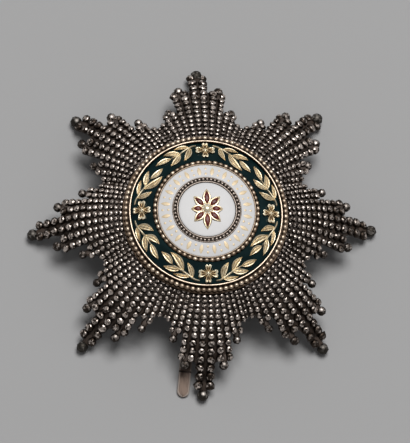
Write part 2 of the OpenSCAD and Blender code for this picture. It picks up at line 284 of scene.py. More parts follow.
def makeCamera():
    look = {
        "back": Vector((-0.0971, -0.3307, 0.9387)),  # from the star to the camera
        "side": Vector((0.9595, -0.2817, 0.0)), "roll": math.radians(-15.69),
        "distance": 1450, "focalPixels": 5680, "pixelsPerMm": 3.917, "longSidePixels": 443,
        "shift": (4.8, 12.1),  # pixels from the star's middle to the photo's, to the right and up
        "aimHeight": 1.5, "sensor": 36,
        "clip": (0.1, 10),  # nearest and farthest that the camera sees, in metres
    }
    back = look["back"].normalized()
    side = look["side"].normalized()
    up = back.cross(side)
    turnCos, turnSin = math.cos(look["roll"]), math.sin(look["roll"])
    imageRight = turnCos * side - turnSin * up
    imageUp = turnSin * side + turnCos * up
    scale = look["pixelsPerMm"]
    spot = Vector((0, 0, look["aimHeight"])) + back * look["distance"]
    spot += imageRight * look["shift"][0] / scale + imageUp * look["shift"][1] / scale
    data = bpy.data.cameras.new("camera")
    data.sensor_width = look["sensor"]
    data.lens = look["focalPixels"] * look["sensor"] / look["longSidePixels"]
    data.clip_start, data.clip_end = look["clip"]
    camera = placeObject("camera", data)
    turn = Matrix((imageRight, imageUp, back)).transposed().to_4x4()
    camera.matrix_world = Matrix.Translation(spot * mm) @ turn
    bpy.context.scene.camera = camera


# One soft light overhead in a room that is dim above and paler near the floor
def makeLights():
    look = {
        "pale": (0.62, 0.62, 0.63), "dim": (0.13, 0.13, 0.13),
        "rise": (0.1, 0.55),  # heights between which the room turns from pale to dim
        "toKey": Vector((0.1, 0.3, 0.95)), "distance": 3.0, "size": 1.8, "power": 76,
    }
    scene = bpy.context.scene
    scene.view_settings.view_transform = "Standard"
    world = bpy.data.worlds.new("studio")
    world.use_nodes = True
    nodes, links = world.node_tree.nodes, world.node_tree.links
    kinds = ("TexCoord", "SeparateXYZ", "MapRange", "Mix")
    way, split, fade, mix = (nodes.new("ShaderNode" + kind) for kind in kinds)
    fade.interpolation_type, mix.data_type = "SMOOTHSTEP", "RGBA"
    fade.inputs["From Min"].default_value, fade.inputs["From Max"].default_value = look["rise"]
    mix.inputs[mixFirst].default_value = (*look["pale"], 1)
    mix.inputs[mixSecond].default_value = (*look["dim"], 1)
    links.new(way.outputs["Generated"], split.inputs[0])
    links.new(split.outputs["Z"], fade.inputs["Value"])
    links.new(fade.outputs[0], mix.inputs[0])
    links.new(mix.outputs[mixResult], nodes["Background"].inputs["Color"])
    scene.world = world
    data = bpy.data.lights.new("keyLight", "AREA")
    data.shape = "DISK"
    data.size, data.energy = look["size"], look["power"]
    light = placeObject("keyLight", data)
    away = look["toKey"].normalized()
    turn = away.to_track_quat("Z", "Y").to_matrix().to_4x4()
    light.matrix_world = Matrix.Translation(away * look["distance"]) @ turn


# Rows of beads on the rays. Eight values are one for each point, from the upright one to the left and round
rays = {
    # rows of half a point: turn in degrees, number of beads, first bead's place in cells
    "rows": ((1.945, 14, 0.5), (5.83, 11, 0.5), (9.56, 11, 0.5),
             (13.065, 8, 0.0), (16.49, 8, 0.0), (19.75, 6, 0.5)),
    "edges": (0.0, 3.89, 7.77, 11.35, 14.78, 18.2, 21.3), "cells": (14, 11, 11, 7, 7, 6),
    "valleyCells": 6,
    "beadGrowth": 1.053, "firstGap": 0.1,  # each bead's radius over the last's, and an addition to the places
    "cut": ((0.65, -0.8, 0), (1.0, -0.08, 0.05), (0.7, 0.5, 0.8), (0.28, 0.66, 0.9)), "sides": 7,
    "across": 0.98,  # half width of a bead, over half its row's width
    "along": 0.0262, "stretch": 0.8,  # half length over radius, and power with which the slope stretches it
    "high": 0.026, "sink": 0.009,  # half height, and way of the girdle under the ray face, over radius
    "lastSizes": (0.92, 1.05),  # of the last beads in the middle rows and in the others
    "jitter": 0.035,  # spread of the places, in millimetres, and of the sizes
    "lean": 8, "spin": 15, "uneven": 0.06,  # spread of the axes and turns, in degrees, and of the corners
    "paintedLight": (0, 0, 0.07, 0.07, 0.03, 0, -0.1, -0.08),  # painted light: brightness added to each point, more on the left points and less on the right ones
    "endDark": (0.3, 0.37, 0.38, 0.4, 0.46, 0.48, 0.32, 0.2),  # darkening of the last beads, strongest on the lower points
    "darkOver": (29, 10), "darkPower": 1.6,  # radius where it starts, its reach, its power
    "innerDark": 0.14, "innerOver": (25.5, -3),  # darkening of the first beads
    "turned": (0.2, 0.65, 0, -0.45, -0.1, 0.1, 0.35, 0.15),  # degrees by which the rows are turned
    "endTurned": (-0.1, 0.2, 0.2, -0.8, -0.4, 0.1, 0.9, 0.6),  # and their ends
    "turnOver": (20, 8), "endTurnOver": (32, 8),
    "fan": 0.03, "fanOver": (24, 6),  # share by which the rows spread wider towards their ends
    "shifted": (-0.25, -0.2, -0.05, -0.05, 0, 0.05, 0.15, 0.15),  # way of the beads outwards
    "endShifted": (0.2, -0.1, -0.9, -0.9, -0.8, -0.9, -0.4, 0.5),  # and of the last beads
    "endShares": (1, 0.5, 0.8, 0.3, 0.3, 0.3), "endReach": 9,  # each row's share of that
}
shell = {
    "wall": 1.0,
    "cornerDrop": 0.026,  # its corners under the ray face, over radius
    "inset": 0.3,  # share of a cell by which it stays back from the beads' outlines
    "follow": 0.7,  # share of the last beads' way outwards that it follows
}
valley = {
    "beads": 6, "radius": 21.5, "spacing": 1.13, "loose": 0.05, "swing": 0.12, "sink": 0.012,
    "cut": ((0.8, -0.8, 0), (1.0, 0.0, 0.05), (0.75, 0.5, 0.7), (0.3, 0.75, 0.8)), "sides": 6,
    "sizes": (0.5, 0.6), "lean": 10, "spin": 40, "uneven": 0.05,
}
# Larger beads at the finger ends: the tip, then the side fingers
fingers = {
    "places": ((0.0, 43.3, 1.5), (7.77, 37.2, 1.22), (-7.77, 37.2, 1.22),
               (14.78, 31.3, 1.1), (-14.78, 31.3, 1.1)),
    # way of each outwards, and degrees by which it is turned, for the eight points
    "moved": ((-0.8, 0, -0.4, 0.1, 0.1, 0.05, 0.5, 0.75), (-0.3, 0.35, 0.2, 0.15, 0, 0.05, 0.3, 0.4),
              (-0.3, -0.1, -0.2, -0.2, 0, 0.6, 0.3, 0.45), (-0.85, 0.15, 0.55, 1.0, 0.6, 0.35, 0.5, 0),
              (-0.9, 0, 0.3, 0.35, 0.5, 0.8, 0.35, 0.2)),
    "turned": ((0, 1.0, 1.1, -0.2, -0.7, -0.5, 1.0, 0.3), (0, 0, 0, 0, -0.7, 0, 0, 0),
               (0, 0, 0, 0, 0, 0, -0.7, 0), (0, 0, 0, 0, -1.0, -0.7, 0, 0), (0, 0, 0.6, 0.9, 0, 0, 0, 0)),
    "cut": ((0.5, -1.0, 0), (0.88, -0.6, 0), (1.04, 0.0, 0.1), (0.84, 0.56, 0.5), (0.4, 0.88, 0.7)),
    "sides": 7,
    "outwards": 0.3,  # lean of the side beads' axes away from the medallion
    "lean": 0, "spin": 90, "uneven": 0.02,
    # brightness, less the tip's darkening or, at the others, their own and a share of the last beads'
    "bright": 1.2, "tipDark": 0.6, "dark": 0.1, "darkShare": 0.8,
}
# Bars that carry the finger beads: length in bead sizes, way under the shell's face, stations, girths
neck = {
    "length": 3, "low": 0.9, "share": (0.0, 0.5, 1.0, 1.0), "girth": (0.0, 0.85, 0.5, 0.0),
    "flat": 0.6, "sides": 6, "shade": 0.15,
}


# A cut bead of unit radius: rings of radius, height and brightness, each turned half a side from the last.
# The brightness is a painted highlight on the crown and painted shade on the flanks, together with polish and
# tarnish
def cutBead(rings, sides):
    rings = np.array(rings)
    n = np.arange(len(rings))[:, None]
    angle = (np.arange(sides)[None, :] + 0.5 * (n % 2)) * 360 / sides
    points = polar(rings[:, :1], angle, rings[:, 1:2]).reshape(-1, 3)
    here = np.arange(sides)
    beside = (here + 1) % sides
    bands = []
    for ring in range(len(rings) - 1):
        low, right = ring * sides + here, ring * sides + beside
        high, far = low + sides, right + sides
        pair = ((low, far, high), (low, right, far)) if ring % 2 else ((low, right, high), (right, far, high))
        bands += [np.stack(corners, -1) for corners in pair]
    caps = np.stack([here[::-1], (len(rings) - 1) * sides + here])
    return {"points": points, "faces": [np.concatenate(bands), caps], "rise": np.repeat(rings[:, 2], sides)}


# Copies of a look's bead: scaled, cut a little unevenly, turned, and set with their axes near the normals
def setBeads(look, centres, normals, angles, sizes):
    bead, count = cutBead(look["cut"], look["sides"]), len(centres)
    spin = np.radians(dice.normal(0, look["spin"], count))
    tilt = dice.normal(0, np.radians(look["lean"]), (count, 2))
    axis = unit(normals + polar(tilt[:, 0], 0, 0) + polar(tilt[:, 1], 90, 0))
    first = polar(1.0, angles + 90, 0)
    first = unit(first - (first * axis).sum(-1, keepdims=True) * axis)
    second = np.cross(axis, first)
    across = np.cos(spin)[:, None] * first + np.sin(spin)[:, None] * second
    along = np.cross(axis, across)
    turned = np.stack([across, along, axis], 1)
    corners = len(bead["points"])
    cut = dice.normal(1, look["uneven"], (count, corners, 1))
    shape = bead["points"][None] * cut * np.broadcast_to(sizes, (3, count)).T[:, None, :]
    points = np.einsum("npi,nij->npj", shape, turned) + centres[:, None, :]
    first = (np.arange(count) * corners)[:, None, None]
    faces = [(part[None] + first).reshape(-1, part.shape[1]) for part in bead["faces"]]
    tone = dice.uniform(0, 1, count)[:, None]
    return {"points": points, "faces": faces, "height": bead["rise"][None, :], "tone": tone}


def makeRayPiece(name, part, finish, sharp=0):
    makePiece(name, [part], finish, ["star_rays"], sharp=sharp)


# Normal of the ray face, from its slopes along radius and turn
def rayNormal(radius, turn, angle):
    small = 0.05
    slope = (rayHeight(radius + small, turn) - rayHeight(radius - small, turn)) / (2 * small)
    degree = (rayHeight(radius, turn + small) - rayHeight(radius, turn - small)) / (2 * small)
    sideSlope = degree / np.radians(1) / radius
    return unit(polar(-slope, angle, 1.0) + polar(-sideSlope, angle + 90, 0.0))


# Share of the end shift at a radius, which grows over the last millimetres of a row
def endShare(radius, rowEnd):
    return np.clip(1 - (rowEnd - radius) / rays["endReach"], 0, 1) ** 2


# For all beads of one point: turn, radius, half the row's width over radius, share of the end shift, size
def rowBeads():
    turns, radii, halves, ends, sizes = [], [], [], [], []
    widths = np.radians(np.diff(rays["edges"])) / 2
    for row, ((turn, count, first), half) in enumerate(zip(rays["rows"], widths)):
        place = np.arange(count) + first + rays["firstGap"]
        radius = star["innerRadius"] * rays["beadGrowth"] ** place
        for side in (-1, 1):
            turns.append(side * turn + 0 * radius)
            radii.append(radius)
            halves.append(half + 0 * radius)
            ends.append(rays["endShares"][row] * endShare(radius, radius[-1]))
            sizes.append(np.where(np.arange(count) == count - 1, rays["lastSizes"][min(row, 1)], 1.0))
    return tuple(np.concatenate(rows) for rows in (turns, radii, halves, ends, sizes))


# Angle of a place on a point: its turn, which spreads with the radius, and the point's own turn there
def rayAngle(point, radius, turn):
    spread = 1 + rays["fan"] * ramp(radius, *rays["fanOver"])
    whole, end = np.array(rays["turned"])[point], np.array(rays["endTurned"])[point]
    own = whole * ramp(radius, *rays["turnOver"]) + (end - whole) * ramp(radius, *rays["endTurnOver"])
    return pointAngle(point) + turn * spread + own


# Darkening of a point's beads grows with a power of the way to their end, and evenly to the medallion
def beadDarkening(point, radius):
    outer = ramp(radius, *rays["darkOver"]) ** rays["darkPower"]
    return rays["endDark"][point] * outer + rays["innerDark"] * ramp(radius, *rays["innerOver"])


def makeRayBeads(finish):
    turns, radii, halves, ends, sizes = rowBeads()
    for point in range(star["points"]):
        jitter = dice.normal(0, rays["jitter"], (2, len(turns)))
        radius = radii + rays["shifted"][point] + rays["endShifted"][point] * ends + jitter[0]
        angle = rayAngle(point, radius, turns) + np.degrees(jitter[1] / radius)
        normal = rayNormal(radius, turns, angle)
        along = rays["along"] * radius / normal[:, 2] ** rays["stretch"]
        size = np.stack([rays["across"] * halves * radius, along, rays["high"] * radius])
        size = size * dice.normal(1, rays["jitter"], len(turns)) * sizes
        centre = polar(radius, angle, rayHeight(radius, turns) - rays["sink"] * radius)
        part = setBeads(rays, centre, normal, angle, size)
        part["height"] = part["height"] * (1 - beadDarkening(point, radius))[:, None] + rays["paintedLight"][point]
        makeRayPiece(f"ray_beads_{point + 1}", part, finish)
    print("ray beads", len(turns) * star["points"])


def makeValleyBeads(finish):
    radius = (valley["radius"] + valley["spacing"] * np.arange(valley["beads"]))[None, :]
    radius = radius + dice.normal(0, valley["loose"], (star["points"], valley["beads"]))
    middles = pointAngle(np.arange(star["points"]) + 0.5)[:, None]
    angle = middles + dice.normal(0, valley["swing"], radius.shape)
    radius, angle = radius.ravel(), angle.ravel()
    turn = 0 * radius + halfStep
    centre = polar(radius, angle, rayHeight(radius, turn) - valley["sink"] * radius)
    size = dice.uniform(*valley["sizes"], len(radius))
    part = setBeads(valley, centre, rayNormal(radius, turn, angle), angle, size)
    makeRayPiece("valley_beads", part, finish)
    print("valley beads", len(radius))


# For all finger ends: point, turn, radius, angle, size, and whether it is the tip
def fingerPlaces():
    turn, plan, size = (np.tile(column, star["points"]) for column in np.array(fingers["places"]).T)
    point = np.repeat(np.arange(star["points"]), len(fingers["places"]))
    isTip = turn == 0
    angle = np.where(isTip, pointAngle(point), rayAngle(point, plan, turn))
    moved, turned = (np.array(fingers[name]).T.ravel() for name in ("moved", "turned"))
    return point, turn, plan + moved, angle + turned, size, isTip


def makeFingerBeads(finishes):
    point, turn, radius, angle, size, isTip = fingerPlaces()
    upright = unit(polar(fingers["outwards"], angle, 1.0) * ~isTip[:, None] + np.array([0, 0, 1.0]))
    tipRadius = fingers["places"][0][1]
    centre = polar(radius, angle, rayHeight(np.minimum(radius, tipRadius), turn))
    dark = fingers["dark"] + fingers["darkShare"] * np.array(rays["endDark"])[point]
    dark = np.where(isTip, fingers["tipDark"], dark)
    for name, chosen, slot in (("tip_beads", isTip, "end_silver"), ("finger_beads", ~isTip, "finger_silver")):
        part = setBeads(fingers, centre[chosen], upright[chosen], angle[chosen], size[chosen])
        part["height"] = part["height"] * (fingers["bright"] - dark[chosen])[:, None]
        makeRayPiece(name, part, finishes[slot])
    print("finger beads", len(radius))


# Shell under the beads: a grid of edges and rings
def makeRayShell(finish):
    halfEdges, longest = np.array(rays["edges"]), star["longestRow"]
    pointEdges = np.concatenate([-halfEdges[:0:-1], halfEdges])
    pointCells = np.concatenate([rays["cells"][::-1], rays["cells"], [rays["valleyCells"]]])
    # turn of each edge, and cells in the row that starts there
    edgeTurn, cells = (np.tile(values, star["points"]) for values in (pointEdges, pointCells))
    edges = len(edgeTurn)
    point = np.repeat(np.arange(star["points"]), len(pointEdges))
    edgeAngle = pointAngle(point) + edgeTurn
    width = np.diff(np.append(edgeAngle, edgeAngle[0] + 360))
    ring = np.arange(longest + 1)[None, :]
    before, after = np.roll(cells, 1)[:, None], cells[:, None]
    openRight = (ring > before) & (ring <= after)
    openLeft = (ring > after) & (ring <= before)
    shift = shell["inset"] * (openRight * width[:, None] - openLeft * np.roll(width, 1)[:, None])
    atEnd = ring == np.maximum(before, after)
    radius = cellRadius(ring - shell["inset"] * atEnd * (ring < longest))
    ends = endShare(radius, cellRadius(np.maximum(before, after)))
    radius = radius + shell["follow"] * np.array(rays["endShifted"])[point][:, None] * ends
    turn = edgeTurn[:, None] + shift
    angle = rayAngle(point[:, None], radius, turn)
    top = rayHeight(radius, turn) - shell["cornerDrop"] * radius
    upper, lower = polar(radius, angle, top), polar(radius, angle, top - shell["wall"])
    quads = gridFaces(edges, longest + 1, wrapRows=True).reshape(edges, longest, 4)
    skin = quads[np.arange(longest)[None, :] < cells[:, None]]
    total = edges * (longest + 1)
    sides = np.concatenate([skin[:, [n, (n + 1) % 4]] for n in range(4)])
    border = sides[~np.isin(sides[:, 0] * total + sides[:, 1], sides[:, 1] * total + sides[:, 0])]
    walls = np.concatenate([border[:, ::-1], border + total], -1)
    part = {"points": np.concatenate([upper.reshape(-1, 3), lower.reshape(-1, 3)]),
            "faces": [skin, skin[:, ::-1] + total, walls], "height": 0.0}
    makeRayPiece("ray_shell", part, finish, 50)
    print("ray shell", edges, "edges")


# Necks run from under the row ends to the beads' middles
def makeNecks(finish):
    point, turn, radius, angle, size, isTip = fingerPlaces()
    startRadius = radius - size * neck["length"]
    startHeight = rayHeight(startRadius, turn) - shell["cornerDrop"] * startRadius - neck["low"]
    start = polar(startRadius, rayAngle(point, startRadius, turn), startHeight)
    end = polar(radius, angle, rayHeight(radius, turn))
    share, girth, sides = np.array(neck["share"]), np.array(neck["girth"]), neck["sides"]
    stations = start[:, None] + (end - start)[:, None] * share[None, :, None]
    side = polar(1.0, angle + 90, 0.0)[:, None, None, :]
    rise = np.array([0, 0, neck["flat"]])
    around = np.radians(360 / sides * np.arange(sides))[None, None, :, None]
    reach = (girth[None, :] * size[:, None])[:, :, None, None]
    points = stations[:, :, None] + reach * (np.cos(around) * side + np.sin(around) * rise)
    makeRayPiece("finger_necks", gridPart(points, neck["shade"]), finish, 30)


# Setting: carrier dome, cup wall with a rounded rim, and flange, as one spun outline
def makeSetting(finish):
    outer, wall, rimTop, rimCurve, rimHighlight = medallion["rim"]
    flange, thick, low, curve, flangeBright = medallion["flange"]
    inner, high, foot = outer - wall, low + thick, medallion["plateTop"] + medallion["gap"]
    across = np.linspace(0, inner, 25)
    top = np.stack([across, faceHeight(across) - (medallion["enamel"] + medallion["seam"])], -1)
    bend = np.radians(np.linspace(180, 0, 13))
    rimHeight = rimTop - rimCurve + rimCurve * np.sin(bend)
    rim = np.stack([outer - wall / 2 + wall / 2 * np.cos(bend), rimHeight], -1)
    step = [(outer, high), (flange - curve, high), (flange, high - curve), (flange, low), (outer, low)]
    under = top[::-1] - (0, medallion["carrierThick"])
    outline = np.concatenate([top, rim, step, [(outer, foot), (inner, foot)], under])
    # brightness: a painted highlight along the rim's top, while its flanks and inner wall stay dark as
    # painted shade together with patina
    bright = np.zeros(len(outline))
    bright[len(top):][:len(rim)] = rimHighlight * np.sin(bend) ** 3
    bright[len(top) + len(rim) + 1:][:4] = flangeBright
    part = spun(outline, 192, bright)
    makePiece("medallion_setting", [part], finish, ["medallion_frame"], sharp=35)


# Band of the face between two radii, with its upper edges rounded off
def faceBand(inner, outer):
    curve, thick = medallion["bandRound"], medallion["enamel"]
    across = np.linspace(inner + curve, outer - curve, 21)
    bend = np.radians(np.linspace(0, 90, 5))[1:]
    drop = curve * np.cos(bend) - curve
    outward = np.stack([outer - curve + curve * np.sin(bend), faceHeight(outer) + drop], -1)
    inward = np.stack([inner + curve - curve * np.sin(bend), faceHeight(inner) + drop], -1)
    top = np.stack([across, faceHeight(across)], -1)
    below = top[::5][::-1] - (0, thick)
    if inner == 0:
        middle = np.array([[0.0, medallion["faceTop"]]])
        return np.concatenate([middle, top[1:], outward, below[:-1], middle - (0, thick)])
    return np.concatenate([top, outward, below, inward[::-1]])


def makeEnamels(finishes):
    for node, (inner, outer, slot) in medallion["bands"].items():
        name = node.replace("_ring", "").replace("_disc", "_enamel")
        makePiece(name, [spun(faceBand(inner, outer), 160)], finishes[slot], [node], sharp=50)
    print("enamels", len(medallion["bands"]))


# Beaded wires, with the painted sheen on their sides as gleam
beading = {
    "outer": {"ring": 20.32, "middle": 16.72, "width": 1.15, "beads": 91, "uneven": 0.06, "gleam": 0.25},
    "inner": {"ring": 13.08, "width": 0.96, "beads": 57, "uneven": 0.05, "gleam": 0.15},
    "dark": {"ring": 8.12, "width": 0.84, "beads": 51, "uneven": 0.05, "gleam": 0.15},
    "waist": 0.4,  # girth between the beads, over theirs
    "roundness": 0.97, "brightness": 0.85,
    "level": 0.45,  # painted light: brightness at mid height, over the top's
    "stations": 8, "sides": 10,
    # plain wires beside them: radius of the ring, half thickness, way over the face
    "plain": {"outer": (), "inner": ((12.47, 0.13, 0.05),), "dark": ((8.64, 0.12, 0.02), (7.5, 0.2, 0.0))},
}


# A ring whose section swells as a ball does along each bead and never thins below its waist. Its bead tops
# carry a painted highlight, and its waists and undersides painted shade, together with wear
def beadedWire(look):
    stations, waist, beads = beading["stations"], beading["waist"], look["beads"]
    phase = np.tile(np.arange(stations) * 2 / stations - 1, beads)
    swell = np.maximum(np.sqrt(np.clip(1 - (beading["roundness"] * phase) ** 2, 0, 1)), waist)
    each = np.repeat(dice.normal(1, look["uneven"], beads), stations)
    wander = np.repeat(dice.normal(0, 0.5 * look["uneven"], beads), stations)[:, None]
    bulk = (look["width"] / 2 * swell * each)[:, None]
    around = np.radians(np.arange(beading["sides"]) * 360 / beading["sides"])[None, :]
    angle = (np.arange(beads * stations) * 360 / (beads * stations))[:, None]
    middle = look.get("middle", faceHeight(look["ring"]))
    points = polar(look["ring"] + wander + bulk * np.cos(around), angle, middle + bulk * np.sin(around))
    level = beading["level"] + (1 - beading["level"]) * np.sin(around)
    crest = beading["brightness"] * (swell[:, None] - waist) / (1 - waist) * level
    tone = np.repeat(dice.uniform(0, 1, beads), stations)[:, None]
    return gridPart(points, np.clip(look["gleam"] + crest, 0, 1), tone, True)


def plainWire(ring, thickness, lift):
    around = np.radians(np.arange(10) * 36)
    height = faceHeight(ring) + lift + thickness * np.sin(around)
    return spun(np.stack([ring + thickness * np.cos(around), height], -1), 180, 0.6)


def makeBeadRings(finishes):
    for name, wires in beading["plain"].items():
        look, slot = ("dark_silver", "dark_silver") if name == "dark" else ("beading", "gold")
        parts = [beadedWire(beading[name])] + [plainWire(*wire) for wire in wires]
        makePiece(f"{name}_beading", parts, finishes[look], [f"{name}_bead_ring"])
    print("bead rings", len(beading["plain"]))


leafLook = {
    "along": 15,
    "plump": 0.56,  # half width, over the width given
    "widest": 0.85, "blunt": 0.4,  # powers of the width's shape and of the height's
    # side veins: height, number, slant, how far they reach sideways, how much they shade
    "ripple": 0.08, "veins": 5, "slant": 1.5, "veined": 0.7, "veinShade": 3, "palest": 0.35,
    "across": (-1, -0.93, -0.8, -0.62, -0.42, -0.2, 0, 0.2, 0.42, 0.62, 0.8, 0.93, 1),
    "rise": (0.0, 0.6, 0.9, 0.85, 0.68, 0.78, 1.0, 0.78, 0.68, 0.85, 0.9, 0.6, 0.0),
    # shade: painted highlights on rims and midrib and painted shade in the hollows and along the border where
    # the leaf meets the enamel, together with the gold's own patina
    "shade": (0.0, 0.1, 1.0, 0.85, 0.1, 0.5, 1.0, 0.5, 0.1, 0.85, 1.0, 0.1, 0.0),
    "enamelRise": (0.0, 0.45, 0.75, 0.9, 0.97, 1.0, 1.0, 1.0, 0.97, 0.9, 0.75, 0.45, 0.0),
}


# Leaves: a section of rim, hollow and midrib is carried from foot to tip, shrinks to nothing at both, and is
# laid on the medallion's face. Feet and tips are given as radius and angle
def leafStrips(feet, tips, widths, bows, rise, section="rise", low=sunk):
    feet, tips = (polar(*end, 0)[:, :2] for end in (feet, tips))
    widths, bows = (np.broadcast_to(values, len(feet))[:, None] for values in (widths, bows))
    share = (1 - np.cos(np.linspace(0, np.pi, leafLook["along"]))) / 2
    length = np.linalg.norm(tips - feet, axis=-1)[:, None]
    forward = (tips - feet) / length
    sideways = np.stack([-forward[:, 1], forward[:, 0]], -1)
    arch = (4 * share * (1 - share))[None, :, None] * (bows * length)[:, :, None]
    axis = feet[:, None] + (tips - feet)[:, None] * share[None, :, None] + sideways[:, None] * arch
    spread = np.sin(np.pi * share ** leafLook["widest"])[None, :]
    halfWidth = leafLook["plump"] * widths * spread
    top = np.array(leafLook["across"])
    across = np.concatenate([top, [0.5, -0.5]])
    flat = axis[:, :, None] + sideways[:, None, None] * (halfWidth[:, :, None] * across)[..., None]
    ends = (np.sin(np.pi * share) ** leafLook["blunt"])[None, :, None]
    ripple = np.cos(2 * np.pi * (leafLook["veins"] * share[:, None] - leafLook["slant"] * np.abs(top)))
    ripple = leafLook["ripple"] * ripple * (np.abs(top) < leafLook["veined"])
    veined = section == "rise"
    profile = np.array(leafLook[section]) + veined * ripple
    shade = np.array(leafLook["shade" if veined else section]) + leafLook["veinShade"] * veined * ripple
    crest, shade = (np.pad(rows, ((0, 0), (0, 2)))[None] for rows in (profile, shade))
    radius = np.linalg.norm(flat, axis=-1)
    height = faceHeight(radius) + low + (rise - low) * crest * ends
    points = np.concatenate([flat, height[..., None]], -1)
    return gridPart(points, shade, dice.uniform(leafLook["palest"], 1, len(feet))[:, None, None])


laurel = {
    "sprays": 8, "rise": 0.62,
    # turn and radius of the foot, turn and radius of the tip, width, bow to the left
    "leftLeaves": ((11.5, 17.8, 21.5, 14.5, 1.6, 0.07), (12.0, 18.0, 25.0, 18.6, 1.05, -0.05),
                   (21.5, 16.8, 36.0, 14.95, 1.55, 0.08), (21.5, 16.8, 34.5, 18.5, 1.55, -0.07),
                   (30.8, 16.65, 45.2, 17.6, 1.5, -0.04)),
    "rightLeaves": ((12.5, 17.9, 21.0, 14.6, 1.4, 0.07), (15.0, 17.7, 28.5, 18.4, 1.05, -0.05),
                    (21.5, 16.8, 41.0, 14.4, 1.8, 0.08), (24.5, 16.8, 38.5, 18.1, 1.45, -0.06),
                    (32.5, 16.5, 47.5, 15.8, 1.5, 0.04)),
}
stem = {
    "rise": 0.527, "shade": 0.3, "stations": 22, "taper": 4,
    "turn": (6.2, 9.5, 12, 15, 22, 33), "radius": (18.2, 18.15, 17.95, 17.6, 16.85, 16.6),
    "halfWidth": (0.16, 0.22, 0.25, 0.27, 0.25, 0.13),
}


# A ridge along the stem's path, tapered at both ends, with a painted highlight along its top and painted
# shade on its sides
def stemRidge(turns):
    steps, given = np.linspace(0, len(turns) - 1, stem["stations"]), np.arange(len(turns))
    paths = (turns, stem["radius"], stem["halfWidth"])
    turn, radius, halfWidth = (np.interp(steps, given, path) for path in paths)
    taper = np.clip(np.minimum(steps, steps[-1] - steps) * stem["taper"], 0, 1) ** 0.5
    bend = np.radians(np.linspace(180, 0, 7))
    across = np.concatenate([np.cos(bend), [0.5, -0.5]])
    crest = np.concatenate([np.sin(bend), [0, 0]])
    spot = radius[:, None] + (halfWidth * taper)[:, None] * across
    height = faceHeight(spot) + sunk + (stem["rise"] - sunk) * crest * taper[:, None]
    return gridPart(polar(spot, turn[:, None], height), stem["shade"] + (1 - stem["shade"]) * crest)


def makeLaurel(finish):
    for spray in range(laurel["sprays"]):
        flowerTurn = quarter * (spray // 2)
        side = -1 if spray % 2 else 1  # of its flower, the right one or the left
        rows = np.array(laurel["rightLeaves" if spray % 2 else "leftLeaves"])
        feet, tips = ((rows[:, n + 1], flowerTurn + side * rows[:, n]) for n in (0, 2))
        leaves = leafStrips(feet, tips, rows[:, 4], side * rows[:, 5], laurel["rise"])
        ridge = stemRidge(flowerTurn + side * np.array(stem["turn"]))
        makePiece(f"laurel_{spray + 1}", [leaves, ridge], finish, [f"laurel_spray_{spray + 1}"])
    print("laurel sprays", laurel["sprays"])


bloom = {
    "ring": 16.5,
    "shifts": ((-1.2, 0), (-0.6, 0.15), (-1.2, -0.1), (0.3, 0)),  # turn in degrees and way outwards
    "steps": 144,
    "reach": 2.6, "reachOut": 2.25,  # of the petals along the ring, and of those towards rim and centre
    "petalTurn": 31, "notch": 0.35, "notchTurn": 6, "sepal": 1.5, "sepalTurn": 5, "waist": 0.7,
    "rise": 0.75, "flat": 0.55,  # share of the rise where nothing is raised
    # rings, as shares of the way out, and how far boss and petals' ends are raised there; the same values
    # paint them bright as highlight and the hollow dark as shade
    "share": (0, 0.12, 0.22, 0.32, 0.5, 0.66, 0.76, 0.86, 0.96, 1.0),
    "shade": (1.1, 1.0, 0.6, 0.1, 0.1, 0.1, 0.55, 1.0, 0.85, 0.0),
    # a petal's side ridges and vein: place, breadth, height, and shares where they begin and end
    "ridgeAt": 0.78, "ridgeTurn": 6, "vein": 0.5, "veinTurn": 3, "veinTo": 0.8,
    "linesFrom": 0.25, "linesTo": 0.99,
}


def bell(way, width):
    return np.exp(-((way / width) ** 2))


# Flower: its outline is a notched wedge every quarter turn with a small spike between, and its height has a
# raised edge along sides and end, a hollow and a round boss. The same values paint the raised parts bright as
# highlight and the hollow dark as shade
def makeFlowers(finish):
    around = np.linspace(0, 360, bloom["steps"], endpoint=False)
    part = (around + quarter / 2) % quarter - quarter / 2
    reach = np.where((around + quarter / 2) % (2 * quarter) < quarter, bloom["reachOut"], bloom["reach"])
    lobe = reach * np.clip(1 - np.abs(part / bloom["petalTurn"]) ** 5, 0, 1) ** 0.5
    lobe = lobe - bloom["notch"] * bell(part, bloom["notchTurn"])
    spike = bloom["sepal"] * bell(np.abs(part) - quarter / 2, bloom["sepalTurn"])
    outline = np.maximum(np.maximum(lobe, spike), bloom["waist"])
    share = np.array(bloom["share"])[:, None]
    side = bell(np.abs(part) - bloom["ridgeAt"] * bloom["petalTurn"], bloom["ridgeTurn"])
    vein = bloom["vein"] * bell(part, bloom["veinTurn"]) * (share < bloom["veinTo"])
    lines = np.maximum(side, vein) * (share > bloom["linesFrom"]) * (share < bloom["linesTo"])
    shade = np.maximum(np.array(bloom["shade"])[:, None], lines)
    crest = np.where(share < 1, bloom["flat"] + (1 - bloom["flat"]) * shade, 0)
    share, shade, crest = (np.pad(rows, ((0, 1), (0, 0))) for rows in (share, shade, crest))
    for flower, (turn, outward) in enumerate(bloom["shifts"]):
        angle = np.radians(around + quarter * flower + turn)
        middle = polar(bloom["ring"] + outward, quarter * flower + turn, 0)
        x, y = middle[0] + share * outline * np.cos(angle), middle[1] + share * outline * np.sin(angle)
        height = faceHeight(np.hypot(x, y)) + sunk + (bloom["rise"] - sunk) * crest
        points = np.stack([x, y, height], -1)
        part = gridPart(points, np.clip(shade, 0, 1))
        makePiece(f"bloom_{flower + 1}", [part], finish, [f"flower_{flower + 1}"])
    print("flowers", len(bloom["shifts"]))


rosette = {
    "petals": 8, "upright": 5.5, "flat": 4.1, "width": 2.1, "foot": 0.9, "border": 0.34, "endBorder": 0.544,
    "goldRise": 0.42, "enamelRise": 0.56,
    "boss": (0.95, 0.75, 0.1),  # radius, rise, way that its foot is sunk
}


